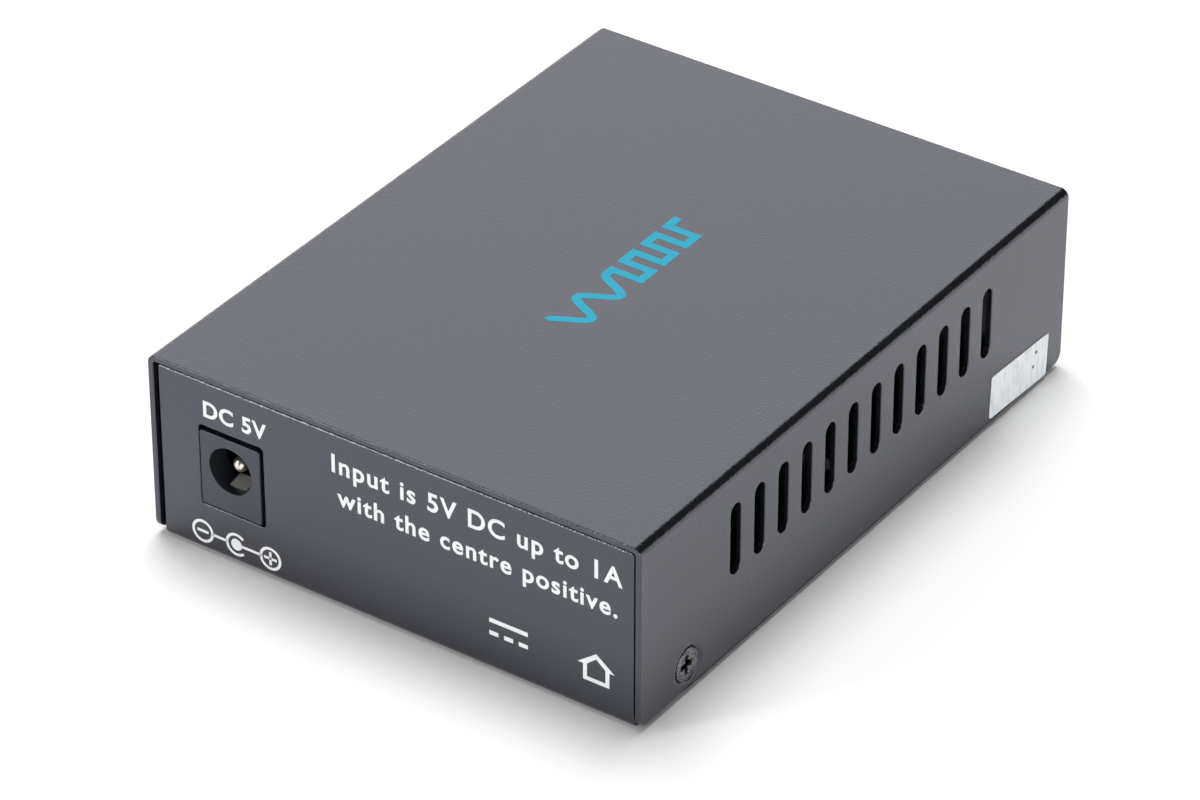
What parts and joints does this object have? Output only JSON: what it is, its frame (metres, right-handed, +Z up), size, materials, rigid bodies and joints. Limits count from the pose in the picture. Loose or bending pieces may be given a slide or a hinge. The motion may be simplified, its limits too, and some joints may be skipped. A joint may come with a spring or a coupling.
{
  "type": "fibre media converter",
  "caption": "Small flat sheet steel converter box with vent slots in its sides, a power inlet behind, and a copper port, a twin fibre port and status lamps in front.",
  "frame": {"origin": "middle of the underside, on the surface that it stands on", "axes": "+Z up, +Y along the depth out of the rear panel with the power inlet, -Y out of the front panel with the ports, +X to the side of the twin fibre port"},
  "size_m": [0.0711, 0.094, 0.026],
  "materials": {
    "black_powder_coat": "fine textured powder coat on steel sheet",
    "black_screw_steel": "black zinc plated steel",
    "label_paper": "white coated paper",
    "board_laminate": "green solder mask on glass laminate",
    "zinc_steel": "bright zinc plated steel",
    "inlet_plastic": "black moulded plastic",
    "nickel_contact": "nickel plated brass",
    "tinned_shield": "tinned steel sheet",
    "port_plastic": "black moulded plastic",
    "gold_contact": "gold plated bronze",
    "clip_plastic": "grey moulded plastic",
    "sleeve_steel": "ground stainless steel",
    "tinned_leads": "tinned copper",
    "lamp_lens": "green tinted clear resin",
    "package_resin": "black moulded resin",
    "crystal_steel": "drawn nickel plated steel can",
    "capacitor_sleeve": "dark shrink sleeve",
    "ferrite": "dark sintered ferrite",
    "ceramic_chip": "tan ceramic with tinned ends",
    "resistor_chip": "black glazed ceramic with tinned ends"
  },
  "bodies": {
    "root": {"cover": "black_powder_coat", "base_tray": "black_powder_coat", "cover_screws": "black_screw_steel", "side_label": "label_paper", "circuit_board": "board_laminate", "board_standoffs": "zinc_steel", "board_screws": "zinc_steel", "dc_jack_housing": "inlet_plastic", "dc_jack_pin": "nickel_contact", "dc_jack_spring": "nickel_contact", "rj45_shield": "tinned_shield", "rj45_insert": "port_plastic", "transceiver_housing": "port_plastic", "led_holders": "port_plastic", "rj45_contacts": "gold_contact", "transceiver_clips": "clip_plastic", "transceiver_sleeves": "sleeve_steel", "transceiver_pins": "tinned_leads", "converter_chip_leads": "tinned_leads", "network_transformer_leads": "tinned_leads", "configuration_memory_leads": "tinned_leads", "voltage_regulator_leads": "tinned_leads", "input_diode_leads": "tinned_leads", "status_leds": "lamp_lens", "converter_chip": "package_resin", "network_transformer": "package_resin", "configuration_memory": "package_resin", "voltage_regulator": "package_resin", "input_diode": "package_resin", "crystal_can": "crystal_steel", "electrolytic_capacitors": "capacitor_sleeve", "power_inductor": "ferrite", "chip_capacitors": "ceramic_chip", "chip_resistors": "resistor_chip"}
  },
  "joints": []
}
